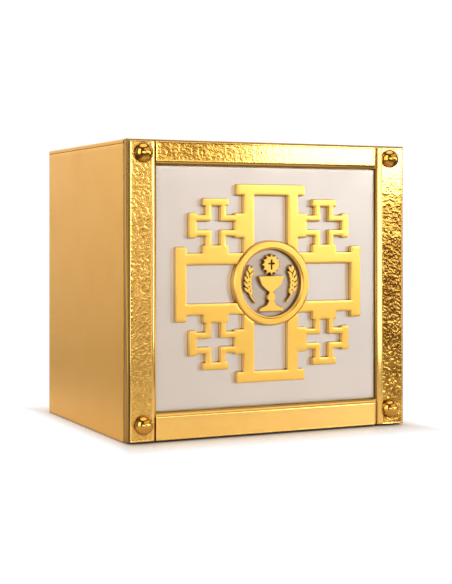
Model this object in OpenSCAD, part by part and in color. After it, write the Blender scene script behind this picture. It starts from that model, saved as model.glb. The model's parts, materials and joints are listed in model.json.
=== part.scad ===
// Tabernacle box: a brass casing with silk-lined boards and an overlay front door.
// The door carries hammered gold strips, a silver panel, an open-work cross and a round
// medallion. It hangs on two concealed gooseneck hinges at the left; a cam lock sits in the
// right side. Frame: front faces -Y, up is +Z, origin at the centre of the underside.

/* [Overall size] */
// Width across the casing and the door
body_w = 320; // [310:1:340]
// Height of the casing
body_h = 300; // [296:1:320]
// Depth from the back of the casing to the front plane of the door plate
body_d = 248; // [240:1:280]

/* [Casing] */
// Thickness of every casing panel
wall_t = 4; // [4:0.25:5]
// Width of each leg of the inside corner angles
angle_leg = 16; // [14:1:20]
// Thickness of the inside corner angles
angle_t = 2.5; // [2:0.25:3]
// Thickness of the padded lining boards
lining_t = 3.5; // [3:0.25:4]

/* [Door] */
// Gap between the door plate and the casing front
door_gap = 3; // [2.5:0.1:3.5]
// Thickness of the door plate
plate_t = 7; // [6:0.5:9]
// Thickness of the hammered strips
strip_t = 3; // [2:0.25:4]
// Depth of the silver panel behind the front of the door plate
panel_drop = 3; // [1.5:0.25:3.5]
// Thickness of the board behind the door plate
board_t = 3; // [2.5:0.25:4]
// Width of the left strip
left_strip_w = 27; // [24:0.5:28]
// Width of the right strip
right_strip_w = 30.5; // [26:0.5:32]
// Radius of the dome studs
dome_r = 9.7; // [7:0.1:11]

/* [Cross] */
// Half length of the cross from side to side
cross_half_x = 106.3; // [100:0.5:112]
// Half length of the cross from top to bottom
cross_half_z = 101.1; // [96:0.5:106]
// Width across each open arm of the cross
arm_w = 62.4; // [58:0.2:66]
// Width of each member of the cross
member_t = 11.7; // [9:0.1:13]
// Height of the cross above the silver panel
cross_t = 6; // [4:0.5:8]

/* [Medallion] */
// Outer radius of the medallion ring
ring_r = 43.6; // [40:0.2:46]
// Inner radius of the medallion ring
ring_bore_r = 34.9; // [32:0.1:36]
// Height of the ring above the silver panel
ring_t = 8; // [6:0.5:10]

/* [Hinges and lock] */
// Height of the upper hinge
upper_hinge_z = 232; // [220:1:240]
// Height of the lower hinge
lower_hinge_z = 68; // [60:1:80]
// Radius of the hinge pins
pin_r = 2; // [1.8:0.1:2.2]
// Lock distance behind the front of the door plate
lock_back = 50; // [48:1:56]
// Reach of the cam finger from the lock axis
cam_reach = 32; // [30:0.5:33]

/* [Hidden] */
$fn = 64;

half_w = body_w / 2;
half_d = body_d / 2;
fit = 0.05;                 // radial clearance of pins and screws
door_front = -half_d;       // front plane of the door plate
door_rear = door_front + plate_t;
case_front = door_rear + door_gap;
case_rear = half_d;
wall_x = half_w - wall_t;   // inner face of the side panels
rear_y = half_d - wall_t;   // inner face of the back panel
roof_z = body_h - wall_t;   // inner face of the top panel
board_rear = door_rear + board_t;

// Screws: one countersunk pattern for the whole object
screw_r = 1.5;
head_r = 3;
head_t = 1.6;
tip_gap = 0.3;

// Corner angles
angle_front = case_front + 10;
angle_len_y = 204 + body_d - 248;
angle_len_z = body_h - 48;
angle_hole = angle_leg * 0.62;
angle_bite = wall_t - 1.2;

// Lining boards
lining_x = wall_x - angle_t - lining_t;
lining_edge = wall_x - angle_t - 0.1;
batten_h = 10;
batten_w = 12;
batten_x = 60;
floor_z = wall_t + batten_h;
ceiling_z = roof_z - angle_t;
rear_lining_y = rear_y - angle_t - lining_t;

// Anchor holes in the bottom panel
anchor_x = 110;
anchor_y = 80;
anchor_r = 3.3;

// Door
door_low = 1;
plate_chamfer = 1.6;
strip_in = 2.4;
right_in = 3.5;
window_x0 = -half_w + strip_in + left_strip_w + 1.6;
window_x1 = half_w - right_in - right_strip_w - 0.5;
window_z0 = 29;
window_z1 = body_h - 24.6;
panel_gap = 1.1;
panel_front = door_front + panel_drop;
strip_front = door_front - strip_t;
lip = 1.4;
bevel_w = 4.3;
bevel_drop = 1.4;
top_bevel_w = 2.4;
strip_z0 = 2;
strip_z1 = body_h - 1.8;
rail_x0 = -half_w + strip_in + left_strip_w + 0.4;
rail_x1 = half_w - right_in - right_strip_w - 2.8;
dome_left = -half_w + 16.5;
dome_right = half_w - 19.6;
dome_low = 18.6;
dome_high = body_h - 13.6;
shank_r = 2.5;
board_x1 = half_w - 19;
board_z0 = 14;
board_z1 = body_h - 14;

// Cross
centre_x = -2.2;
centre_z = 155.6;
end_bar_x = 77.8;
end_bar_z = 75;
end_bar_t = 11.3;
small_x = 62.6;
small_z = 59;
small_half_x = 29.2;
small_half_z = 27.4;
small_arm_x = 22;
small_arm_z = 21.6;
small_bar_x = 28.2;
small_bar_z = 25.4;
small_bar_tx = 8;
small_bar_tz = 7.6;
slot_x = 10.4;
slot_z = 8.6;
disc_t = 1.5;
emblem_t = 5;

// Hinge: the pivot clears the casing edge when the door swings
pivot_x = -half_w + wall_t + 4.1;
pivot_y = case_front + 12;
knuckle_r = 3.8;
knuckle_half = 7;
arm_t = 3;
arm_off = 0.8;
arm_reach = 15.5;
foot_end = 40;
foot_t = 2.5;
foot_half = 15;
ear_t = 3;
ear_gap = 0.1;
bracket_half = 18;
bracket_t = 2.5;
board_x0 = pivot_x + arm_reach;

// Lock
lock_y = door_front + lock_back;
lock_z = 150;
barrel_r = 8;
barrel_end = half_w - 14;
flange_r = 11;
flange_t = 2;
plug_r = 5.5;
plug_head_r = 6.5;
plug_head_t = 1.5;
nut_r = 12;
nut_t = 3.4;
cam_t = 3;
cam_w = 8;
cam_hub_r = 7;
stub_half = 3;
key_t = 1.6;
key_h = 7.4;
key_tip = barrel_end + 3;
keeper_y = lock_y + cam_w / 2 + 2;
keeper_w = 4;
keeper_z0 = lock_z + 14;
keeper_z1 = lock_z + 30;
keeper_arm_x = barrel_end - 7.5;
keeper_arm_t = 2.5;
keeper_foot = 22;
keeper_foot_t = 3;

// ---------- helpers ----------

module block(a, b) {
    translate(a) cube(b - a);
}

// Countersunk screw, head face at the origin, shank along -Z
module screw(len) {
    translate([0, 0, -len]) cylinder(r = screw_r, h = len);
    translate([0, 0, -head_t]) cylinder(r1 = screw_r, r2 = head_r, h = head_t);
}

module screw_hole(len) {
    translate([0, 0, -len - tip_gap]) cylinder(r = screw_r + fit, h = len + tip_gap + 1);
    translate([0, 0, -head_t]) cylinder(r1 = screw_r + fit, r2 = head_r + fit, h = head_t);
    translate([0, 0, -0.001]) cylinder(r = head_r + fit, h = 1);
}

// A screw or its hole, driven from behind the door toward -Y
module from_rear(x, y, z) {
    translate([x, y, z]) rotate([-90, 0, 0]) children();
}

// Flat shape drawn in x and z, raised toward -Y from plane y
module raised(y, t) {
    translate([0, y, 0]) rotate([90, 0, 0]) linear_extrude(height = t) children();
}

module bar_2d(x, z, w, h) {
    translate([x - w / 2, z - h / 2]) square([w, h]);
}

// ---------- casing ----------

module place_angle(i) {
    if (i == 0) translate([-wall_x, angle_front, roof_z]) rotate([-90, 0, 0]) children();
    if (i == 1) mirror([1, 0, 0]) place_angle(0) children();
    if (i == 2) translate([-wall_x, angle_front, wall_t]) mirror([0, 0, 1])
        rotate([-90, 0, 0]) children();
    if (i == 3) mirror([1, 0, 0]) place_angle(2) children();
    if (i == 4) translate([-wall_x, rear_y, 24]) mirror([0, 1, 0]) children();
    if (i == 5) mirror([1, 0, 0]) place_angle(4) children();
}

module place_leg_screws(len) {
    for (k = [0.12, 0.5, 0.85]) {
        translate([angle_hole, angle_t, len * k]) rotate([-90, 0, 0]) children();
        translate([angle_t, angle_hole, len * k + 12]) rotate([0, 90, 0]) children();
    }
}

module angle_bar(len) {
    difference() {
        union() {
            cube([angle_leg, angle_t, len]);
            cube([angle_t, angle_leg, len]);
        }
        place_leg_screws(len) screw_hole(angle_t + angle_bite);
    }
}

module angle_holes() {
    for (i = [0:3]) place_angle(i) place_leg_screws(angle_len_y)
        screw_hole(angle_t + angle_bite);
    for (i = [4:5]) place_angle(i) place_leg_screws(angle_len_z)
        screw_hole(angle_t + angle_bite);
}

module top_panel() {
    color("goldenrod") difference() {
        block([-half_w, case_front, roof_z], [half_w, case_rear, body_h]);
        angle_holes();
    }
}

module bottom_panel() {
    color("goldenrod") difference() {
        block([-wall_x, case_front, 0], [wall_x, rear_y, wall_t]);
        angle_holes();
        for (x = [-anchor_x, anchor_x])
            for (y = [-anchor_y, anchor_y])
                translate([x, y, -1]) cylinder(r = anchor_r, h = wall_t + 2);
    }
}

module left_side_panel() {
    color("goldenrod") difference() {
        block([-half_w, case_front, 0], [-wall_x, rear_y, roof_z]);
        angle_holes();
        place_bracket_screws() screw_hole(bracket_t + angle_bite);
    }
}

module right_side_panel() {
    color("goldenrod") difference() {
        block([wall_x, case_front, 0], [half_w, rear_y, roof_z]);
        angle_holes();
        lock_axis(wall_x - 1) cylinder(r = barrel_r + fit, h = wall_t + 2);
    }
}

module back_panel() {
    color("goldenrod") difference() {
        block([-half_w, rear_y, 0], [half_w, case_rear, roof_z]);
        angle_holes();
    }
}

module upper_left_angle() {
    color("darkgoldenrod") place_angle(0) angle_bar(angle_len_y);
}

module upper_right_angle() {
    color("darkgoldenrod") place_angle(1) angle_bar(angle_len_y);
}

module lower_left_angle() {
    color("darkgoldenrod") place_angle(2) angle_bar(angle_len_y);
}

module lower_right_angle() {
    color("darkgoldenrod") place_angle(3) angle_bar(angle_len_y);
}

module rear_left_angle() {
    color("darkgoldenrod") place_angle(4) angle_bar(angle_len_z);
}

module rear_right_angle() {
    color("darkgoldenrod") place_angle(5) angle_bar(angle_len_z);
}

module angle_screws() {
    color("silver") {
        for (i = [0:3]) place_angle(i) place_leg_screws(angle_len_y)
            screw(angle_t + angle_bite);
        for (i = [4:5]) place_angle(i) place_leg_screws(angle_len_z)
            screw(angle_t + angle_bite);
    }
}

module floor_battens() {
    color("burlywood") for (x = [-batten_x, batten_x])
        block([x - batten_w / 2, angle_front, wall_t],
              [x + batten_w / 2, rear_lining_y, floor_z]);
}

// ---------- lining boards ----------

module floor_lining() {
    color("ivory") block([-lining_edge, angle_front, floor_z],
                         [lining_edge, rear_y - angle_t, floor_z + lining_t]);
}

module ceiling_lining() {
    color("ivory") block([-lining_edge, angle_front, ceiling_z - lining_t],
                         [lining_edge, rear_y - angle_t, ceiling_z]);
}

module left_lining() {
    color("ivory") block([-lining_x - lining_t, case_front + 46, floor_z + lining_t],
                         [-lining_x, rear_lining_y, ceiling_z - lining_t]);
}

module right_lining() {
    color("ivory") difference() {
        block([lining_x, angle_front, floor_z + lining_t],
              [lining_x + lining_t, rear_lining_y, ceiling_z - lining_t]);
        lock_axis(lining_x - 1) cylinder(r = nut_r + 3, h = lining_t + 2);
    }
}

module rear_lining() {
    color("ivory") block([-lining_edge, rear_lining_y, floor_z + lining_t],
                         [lining_edge, rear_lining_y + lining_t, ceiling_z - lining_t]);
}

// ---------- hinges ----------

module place_bracket_screws() {
    for (h = [lower_hinge_z, upper_hinge_z])
        for (s = [-12, 12])
            translate([-wall_x + bracket_t, pivot_y + 18, h + s]) rotate([0, 90, 0])
                children();
}

module hinge_bracket(h) {
    difference() {
        union() {
            block([-wall_x, pivot_y + knuckle_r + 0.6, h - bracket_half],
                  [-wall_x + bracket_t, pivot_y + 30, h + bracket_half]);
            for (s = [0, 1]) mirror_z(h, s)
                block([-wall_x, pivot_y - knuckle_r, h + knuckle_half + ear_gap],
                      [pivot_x + knuckle_r, pivot_y + 12, h + knuckle_half + ear_gap + ear_t]);
        }
        translate([pivot_x, pivot_y, h - bracket_half]) cylinder(r = pin_r + fit,
                                                                 h = 2 * bracket_half);
        place_bracket_screws() screw_hole(bracket_t + angle_bite);
    }
}

module mirror_z(h, s) {
    translate([0, 0, h]) mirror([0, 0, s]) translate([0, 0, -h]) children();
}

module upper_hinge_bracket() {
    color("darkgoldenrod") hinge_bracket(upper_hinge_z);
}

module lower_hinge_bracket() {
    color("darkgoldenrod") hinge_bracket(lower_hinge_z);
}

module hinge_pins() {
    pin_half = knuckle_half + ear_gap + ear_t;
    color("silver") for (h = [lower_hinge_z, upper_hinge_z]) {
        translate([pivot_x, pivot_y, h - pin_half]) cylinder(r = pin_r, h = 2 * pin_half);
        translate([pivot_x, pivot_y, h + pin_half]) cylinder(r = pin_r + 1.2, h = 1.5);
    }
}

module bracket_screws() {
    color("silver") place_bracket_screws() screw(bracket_t + angle_bite);
}

module place_arm_screws() {
    for (h = [lower_hinge_z, upper_hinge_z])
        for (s = [-9, 9])
            from_rear(pivot_x + arm_reach + 15, board_rear + foot_t, h + s) children();
}

module hinge_arm(h) {
    difference() {
        union() {
            translate([pivot_x, pivot_y, h - knuckle_half]) cylinder(r = knuckle_r,
                                                                     h = 2 * knuckle_half);
            block([pivot_x, pivot_y + arm_off, h - knuckle_half],
                  [pivot_x + arm_reach + arm_t, pivot_y + knuckle_r, h + knuckle_half]);
            block([pivot_x + arm_reach, board_rear, h - knuckle_half],
                  [pivot_x + arm_reach + arm_t, pivot_y + knuckle_r, h + knuckle_half]);
            block([pivot_x + arm_reach, board_rear, h - foot_half],
                  [pivot_x + foot_end, board_rear + foot_t, h + foot_half]);
        }
        translate([pivot_x, pivot_y, h - bracket_half]) cylinder(r = pin_r + fit,
                                                                 h = 2 * bracket_half);
        place_arm_screws() screw_hole(foot_t + board_t + 2.5);
    }
}

module upper_hinge_arm() {
    color("darkgoldenrod") hinge_arm(upper_hinge_z);
}

module lower_hinge_arm() {
    color("darkgoldenrod") hinge_arm(lower_hinge_z);
}

module arm_screws() {
    color("silver") place_arm_screws() screw(foot_t + board_t + 2.5);
}

// ---------- door ----------

module place_domes() {
    for (x = [dome_left, dome_right])
        for (z = [dome_low, dome_high]) translate([x, 0, z]) children();
}

// Screws from behind the plate into the strips
module place_strip_screws() {
    mid_x = (rail_x0 + rail_x1) / 2;
    for (x = [mid_x - 90, mid_x, mid_x + 90])
        for (z = [window_z0 - 14, window_z1 + 11])
            from_rear(x, door_rear, z) children();
    for (x = [dome_left, dome_right])
        for (z = [body_h / 2 - 50, body_h / 2 + 50])
            from_rear(x, door_rear, z) children();
}

// Screws from the rear of the board into the plate
module place_board_screws() {
    for (x = [board_x0 + 4, board_x1 - 5])
        for (z = [36, body_h / 2, body_h - 36]) from_rear(x, board_rear, z) children();
    for (x = [-60, 60])
        for (z = [board_z0 + 6, board_z1 - 5]) from_rear(x, board_rear, z) children();
}

module place_cross_screws() {
    mid = (arm_w - member_t) / 2;
    for (s = [-1, 1]) {
        from_rear(centre_x + mid * s, board_rear, centre_z + 80) children();
        from_rear(centre_x + mid * s, board_rear, centre_z - 80) children();
        from_rear(centre_x + 84, board_rear, centre_z + mid * s) children();
        from_rear(centre_x - 84, board_rear, centre_z + mid * s) children();
    }
}

module place_medallion_screws() {
    for (a = [0:3])
        from_rear(centre_x + (ring_r + ring_bore_r) / 2 * cos(45 + 90 * a), board_rear,
                  centre_z + (ring_r + ring_bore_r) / 2 * sin(45 + 90 * a)) children();
}

module chamfered(w0, w1, d0, d1) {
    polygon([[w0 + plate_chamfer, d0], [w1 - plate_chamfer, d0], [w1, d0 + plate_chamfer],
             [w1, d1], [w0, d1], [w0, d0 + plate_chamfer]]);
}

module door_plate() {
    color("goldenrod") difference() {
        intersection() {
            translate([0, 0, door_low]) linear_extrude(height = body_h - door_low)
                chamfered(-half_w, half_w, door_front, door_rear);
            translate([-half_w, 0, 0]) rotate([90, 0, 90]) linear_extrude(height = body_w)
                rotate([0, 0, 90]) mirror([0, 1, 0])
                    chamfered(door_low, body_h, door_front, door_rear);
        }
        block([window_x0, door_front - 1, window_z0], [window_x1, door_rear + 1, window_z1]);
        place_domes() translate([0, door_front - 1, 0]) rotate([-90, 0, 0])
            cylinder(r = shank_r + fit, h = plate_t + 2);
        place_strip_screws() screw_hole(plate_t + 1.5);
        place_board_screws() screw_hole(board_t + 4);
    }
}

// Section of a strip: w is its width, t its height, b its bevel width
module strip_2d(w, b) {
    polygon([[0, 0], [0, strip_t - lip / 2], [lip, strip_t], [w - b, strip_t],
             [w, strip_t - bevel_drop], [w, 0]]);
}

module strip_cut() {
    place_strip_screws() screw_hole(plate_t + 1.5);
    place_domes() translate([0, strip_front - 1, 0]) rotate([-90, 0, 0])
        cylinder(r = shank_r + fit, h = strip_t + 2);
}

module left_strip() {
    color("gold") difference() {
        translate([-half_w + strip_in, door_front, strip_z0]) mirror([0, 1, 0])
            linear_extrude(height = strip_z1 - strip_z0) strip_2d(left_strip_w, bevel_w);
        strip_cut();
    }
}

module right_strip() {
    color("gold") difference() {
        translate([half_w - right_in, door_front, strip_z0]) mirror([0, 1, 0])
            mirror([1, 0, 0])
                linear_extrude(height = strip_z1 - strip_z0)
                    strip_2d(right_strip_w, bevel_w);
        strip_cut();
    }
}

// Rail section raised from the plate: runs along +X, its bevel faces the window
module rail(w, b) {
    rotate([90, 0, 90]) linear_extrude(height = rail_x1 - rail_x0)
        rotate([0, 0, 90]) strip_2d(w, b);
}

module top_strip() {
    color("gold") difference() {
        translate([rail_x0, door_front, strip_z1]) mirror([0, 0, 1])
            rail(strip_z1 - window_z1 - 1, top_bevel_w);
        strip_cut();
    }
}

module bottom_strip() {
    color("gold") difference() {
        translate([rail_x0, door_front, strip_z0])
            rail(window_z0 - strip_z0 - 0.4, bevel_w);
        strip_cut();
    }
}

module dome_studs() {
    color("gold") place_domes() {
        translate([0, strip_front, 0]) rotate([90, 0, 0]) difference() {
            sphere(r = dome_r);
            translate([0, 0, -dome_r]) cube(2 * dome_r, center = true);
        }
        translate([0, strip_front - 0.5, 0]) rotate([-90, 0, 0])
            cylinder(r = shank_r, h = strip_t + plate_t + 0.5);
    }
}

module strip_screws() {
    color("silver") place_strip_screws() screw(plate_t + 1.5);
}

module silver_panel() {
    color("lightgray") difference() {
        block([window_x0 + panel_gap, panel_front, window_z0 + panel_gap],
              [window_x1 - panel_gap, door_rear, window_z1 - panel_gap]);
        place_cross_screws() screw_hole(cross_screw_len());
        place_medallion_screws() screw_hole(cross_screw_len());
        place_arm_screws() screw_hole(foot_t + board_t + 2.5);
        place_keeper_screws() screw_hole(keeper_foot_t + board_t + 2.5);
    }
}

function cross_screw_len() = board_t + plate_t - panel_drop + 4;

module door_board() {
    color("darkgoldenrod") difference() {
        block([board_x0, door_rear, board_z0], [board_x1, board_rear, board_z1]);
        place_cross_screws() screw_hole(cross_screw_len());
        place_medallion_screws() screw_hole(cross_screw_len());
        place_board_screws() screw_hole(board_t + 4);
        place_arm_screws() screw_hole(foot_t + board_t + 2.5);
        place_keeper_screws() screw_hole(keeper_foot_t + board_t + 2.5);
    }
}

module board_screws() {
    color("silver") place_board_screws() screw(board_t + 4);
}

module small_cross_2d() {
    difference() {
        union() {
            bar_2d(0, 0, small_arm_x, 2 * small_half_z);
            bar_2d(0, 0, 2 * small_half_x, small_arm_z);
            for (s = [-1, 1]) {
                bar_2d(0, s * (small_half_z - small_bar_tz / 2), small_bar_x, small_bar_tz);
                bar_2d(s * (small_half_x - small_bar_tx / 2), 0, small_bar_tx, small_bar_z);
            }
        }
        bar_2d(0, 0, slot_x, 2 * (small_half_z - small_bar_tz));
        bar_2d(0, 0, 2 * (small_half_x - small_bar_tx), slot_z);
    }
}

// Inner bars of a small cross run on into the members of the main cross
module small_links_2d() {
    reach_x = small_x - arm_w / 2 + 1;
    reach_z = small_z - arm_w / 2 + 1;
    bar_2d(-(small_half_x - small_bar_tx + reach_x) / 2, 0,
           reach_x - small_half_x + small_bar_tx, small_bar_z);
    bar_2d(0, -(small_half_z - small_bar_tz + reach_z) / 2,
           small_bar_x, reach_z - small_half_z + small_bar_tz);
}

module cross_2d() {
    mid = (arm_w - member_t) / 2;
    for (s = [-1, 1]) {
        bar_2d(0, s * (cross_half_z - end_bar_t / 2), end_bar_x, end_bar_t);
        bar_2d(s * (cross_half_x - end_bar_t / 2), 0, end_bar_t, end_bar_z);
        bar_2d(s * mid, 0, member_t, 2 * cross_half_z - end_bar_t);
        bar_2d(0, s * mid, 2 * cross_half_x - end_bar_t, member_t);
    }
    for (a = [0, 1])
        for (b = [0, 1]) mirror([a, 0]) mirror([0, b]) translate([small_x, small_z]) {
            small_cross_2d();
            small_links_2d();
        }
}

module cross() {
    color("gold") difference() {
        raised(panel_front, cross_t) translate([centre_x, centre_z]) difference() {
            cross_2d();
            circle(r = ring_r + fit);
        }
        place_cross_screws() screw_hole(cross_screw_len());
    }
}

module cross_screws() {
    color("silver") place_cross_screws() screw(cross_screw_len());
}

module medallion_ring() {
    edge = 1.6;
    color("gold") difference() {
        translate([centre_x, panel_front, centre_z]) rotate([90, 0, 0])
            rotate_extrude($fn = 96) polygon([
                [ring_bore_r, 0], [ring_bore_r, ring_t - edge], [ring_bore_r + edge, ring_t],
                [ring_r - edge, ring_t], [ring_r, ring_t - edge], [ring_r, 0]]);
        place_medallion_screws() screw_hole(cross_screw_len());
    }
}

module medallion_disc() {
    color("gray") raised(panel_front, disc_t) translate([centre_x, centre_z])
        circle(r = ring_bore_r - fit);
}

// Chalice outline: foot, stem with a knop, and a flared cup
module chalice_emblem() {
    color("gold") raised(panel_front - disc_t, emblem_t) translate([centre_x, centre_z])
        union() {
            polygon([[-14, -29], [14, -29], [13, -26], [5, -22.5], [2.6, -18], [2.2, -9],
                     [5, -7.5], [11, -2], [14.5, 7], [-14.5, 7], [-11, -2], [-5, -7.5],
                     [-2.2, -9], [-2.6, -18], [-5, -22.5], [-13, -26]]);
            translate([0, -14.5]) circle(r = 4.6);
        }
}

// Round host with pointed rays, marked with a small cross
module host_emblem() {
    rays = 12;
    host_r = 8.4;
    ray_tip = 11.4;
    color("gold") raised(panel_front - disc_t, emblem_t) translate([centre_x, centre_z + 19])
        difference() {
            union() {
                circle(r = host_r);
                for (k = [0:rays - 1]) rotate([0, 0, k * 360 / rays])
                    polygon([[host_r - 0.8, -1.5], [ray_tip, 0], [host_r - 0.8, 1.5]]);
            }
            bar_2d(0, 0, 1.7, 10);
            bar_2d(0, 1, 7.4, 1.7);
        }
}

// One ear of wheat on a curved stalk, at the right of the chalice
module wheat_2d() {
    stalk_r = 26.5;
    difference() {
        circle(r = stalk_r + 0.8);
        circle(r = stalk_r - 0.8);
        translate([-40, -40]) square([58, 80]);
        translate([-40, 8]) square([80, 40]);
    }
    for (a = [-18:11:26])
        for (s = [-1, 1])
            rotate([0, 0, a + 4 * s]) translate([stalk_r + 2.2 * s, 0])
                rotate([0, 0, -28 * s])
                    polygon([[0, -3.4], [1.6, -1], [1.3, 2], [0, 4.4], [-1.3, 2], [-1.6, -1]]);
    rotate([0, 0, 32]) translate([stalk_r, 0])
        polygon([[0, -5], [1.7, -1], [1.3, 2], [0, 4], [-1.3, 2], [-1.7, -1]]);
}

module wheat_sprays() {
    color("gold") for (m = [0, 1])
        raised(panel_front - disc_t, emblem_t - 1) translate([centre_x, centre_z])
            mirror([m, 0]) wheat_2d();
}

module medallion_screws() {
    color("silver") place_medallion_screws() screw(cross_screw_len());
}

module door_lining() {
    color("ivory") block([-105, board_rear, 24], [112, board_rear + lining_t, body_h - 24]);
}

// ---------- lock ----------

// Lock axis along +X from plane x
module lock_axis(x) {
    translate([x, lock_y, lock_z]) rotate([0, 90, 0]) children();
}

module lock_housing() {
    color("gold") difference() {
        union() {
            lock_axis(barrel_end) cylinder(r = barrel_r, h = half_w - barrel_end);
            lock_axis(half_w) cylinder(r = flange_r, h = flange_t);
        }
        lock_axis(barrel_end - 1) cylinder(r = plug_r + fit, h = 20);
        lock_axis(half_w + flange_t - plug_head_t)
            cylinder(r = plug_head_r + fit, h = plug_head_t + 1);
    }
}

module lock_nut() {
    color("silver") difference() {
        lock_axis(wall_x - nut_t) cylinder(r = nut_r, h = nut_t, $fn = 6);
        lock_axis(wall_x - nut_t - 1) cylinder(r = barrel_r + fit, h = nut_t + 2);
    }
}

module lock_plug() {
    color("silver") difference() {
        union() {
            lock_axis(barrel_end) cylinder(r = plug_r, h = half_w - barrel_end + 1);
            lock_axis(half_w + flange_t - plug_head_t)
                cylinder(r = plug_head_r, h = plug_head_t);
            block([barrel_end - cam_t - 0.2, lock_y - stub_half, lock_z - stub_half],
                  [barrel_end + 1, lock_y + stub_half, lock_z + stub_half]);
        }
        block([key_tip - 1, lock_y - key_t / 2 - 0.15, lock_z - key_h / 2 - 0.15],
              [half_w + 5, lock_y + key_t / 2 + 0.15, lock_z + key_h / 2 + 0.15]);
        lock_axis(barrel_end - cam_t - 1) cylinder(r = screw_r + fit, h = cam_t + 2.5);
    }
}

// The finger points forward when unlocked and up when locked
module lock_cam() {
    color("silver") difference() {
        union() {
            lock_axis(barrel_end - cam_t - 0.2) cylinder(r = cam_hub_r, h = cam_t);
            block([barrel_end - cam_t - 0.2, lock_y - cam_reach, lock_z - cam_w / 2],
                  [barrel_end - 0.2, lock_y, lock_z + cam_w / 2]);
        }
        block([barrel_end - cam_t - 1, lock_y - stub_half - fit, lock_z - stub_half - fit],
              [barrel_end + 1, lock_y + stub_half + fit, lock_z + stub_half + fit]);
    }
}

module cam_screw() {
    head_x = barrel_end - cam_t - 0.2;
    color("silver") {
        lock_axis(head_x - 2) cylinder(r = 4.8, h = 2);
        lock_axis(head_x - 1) cylinder(r = screw_r, h = 4);
    }
}

module key() {
    bow_r = 10.5;
    shoulder = half_w + flange_t;
    bow_x = shoulder + 4 + bow_r;
    color("gold") difference() {
        union() {
            block([key_tip, lock_y - key_t / 2, lock_z - key_h / 2],
                  [bow_x, lock_y + key_t / 2, lock_z + key_h / 2]);
            translate([bow_x, lock_y + 1.2, lock_z]) rotate([90, 0, 0])
                cylinder(r = bow_r, h = 2.4);
        }
        translate([bow_x + 4, lock_y + 3, lock_z]) rotate([90, 0, 0])
            cylinder(r = 3, h = 6);
        for (k = [0:3])
            block([key_tip + 2 + 3 * k, lock_y - 2, lock_z + key_h / 2 - 0.8 - 0.4 * (k % 3)],
                  [key_tip + 3.4 + 3 * k, lock_y + 2, lock_z + key_h / 2 + 1]);
    }
}

// ---------- keeper on the door ----------

module place_keeper_screws() {
    for (z = [keeper_z0 + 1, keeper_z1 - 1])
        from_rear(keeper_arm_x - keeper_foot + 5, board_rear + keeper_foot_t, z) children();
}

module keeper_bracket() {
    color("silver") difference() {
        union() {
            block([keeper_arm_x - keeper_foot, board_rear, keeper_z0 - 4],
                  [keeper_arm_x + keeper_arm_t, board_rear + keeper_foot_t, keeper_z1 + 4]);
            block([keeper_arm_x, board_rear, keeper_z0],
                  [keeper_arm_x + keeper_arm_t, keeper_y + keeper_w, keeper_z1]);
        }
        place_keeper_screws() screw_hole(keeper_foot_t + board_t + 2.5);
    }
}

module keeper_catch() {
    color("silver") block([keeper_arm_x + keeper_arm_t, keeper_y, keeper_z0],
                          [keeper_arm_x + keeper_arm_t + 5.5, keeper_y + keeper_w, keeper_z1]);
}

module keeper_screws() {
    color("silver") place_keeper_screws() screw(keeper_foot_t + board_t + 2.5);
}

top_panel();
bottom_panel();
left_side_panel();
right_side_panel();
back_panel();
upper_left_angle();
upper_right_angle();
lower_left_angle();
lower_right_angle();
rear_left_angle();
rear_right_angle();
angle_screws();
floor_battens();
floor_lining();
ceiling_lining();
left_lining();
right_lining();
rear_lining();
upper_hinge_bracket();
lower_hinge_bracket();
hinge_pins();
bracket_screws();
door_plate();
left_strip();
right_strip();
top_strip();
bottom_strip();
dome_studs();
strip_screws();
silver_panel();
door_board();
board_screws();
cross();
cross_screws();
medallion_ring();
medallion_disc();
chalice_emblem();
host_emblem();
wheat_sprays();
medallion_screws();
door_lining();
upper_hinge_arm();
lower_hinge_arm();
arm_screws();
keeper_bracket();
keeper_catch();
keeper_screws();
lock_housing();
lock_nut();
lock_plug();
lock_cam();
cam_screw();
key();
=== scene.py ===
import json
import math

import bpy
import numpy as np
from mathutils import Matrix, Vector, noise
from mathutils.geometry import delaunay_2d_cdt


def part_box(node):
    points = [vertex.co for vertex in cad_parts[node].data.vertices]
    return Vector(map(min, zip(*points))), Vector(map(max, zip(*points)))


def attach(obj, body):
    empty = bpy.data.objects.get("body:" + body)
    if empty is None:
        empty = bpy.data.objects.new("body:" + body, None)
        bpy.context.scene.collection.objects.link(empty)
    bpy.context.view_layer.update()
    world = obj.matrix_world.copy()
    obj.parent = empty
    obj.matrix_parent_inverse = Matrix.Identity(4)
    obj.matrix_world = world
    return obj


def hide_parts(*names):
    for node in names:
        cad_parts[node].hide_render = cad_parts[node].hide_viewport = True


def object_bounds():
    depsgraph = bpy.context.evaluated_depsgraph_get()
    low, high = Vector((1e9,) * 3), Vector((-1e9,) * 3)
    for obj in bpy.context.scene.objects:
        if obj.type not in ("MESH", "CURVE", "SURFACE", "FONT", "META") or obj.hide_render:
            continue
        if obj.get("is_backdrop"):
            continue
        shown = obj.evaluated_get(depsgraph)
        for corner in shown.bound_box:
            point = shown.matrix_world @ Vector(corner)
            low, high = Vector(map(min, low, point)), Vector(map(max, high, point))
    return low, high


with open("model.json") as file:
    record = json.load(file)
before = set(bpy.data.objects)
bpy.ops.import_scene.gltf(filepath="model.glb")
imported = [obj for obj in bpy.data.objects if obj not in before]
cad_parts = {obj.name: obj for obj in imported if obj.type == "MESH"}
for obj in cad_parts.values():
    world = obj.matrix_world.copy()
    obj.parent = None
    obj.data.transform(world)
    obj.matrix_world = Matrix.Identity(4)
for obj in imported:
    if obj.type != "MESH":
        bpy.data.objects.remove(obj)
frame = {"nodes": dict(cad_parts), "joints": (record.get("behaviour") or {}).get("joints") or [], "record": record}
NODES = frame["nodes"]
RECORD = frame["record"]
BODY = {n: b for b, ns in RECORD["behaviour"]["bodies"].items() for n in ns}
SLOT = {s["node"]: s["material_slot"] for s in RECORD["subparts"]}
cad_lo, cad_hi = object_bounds()

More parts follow.
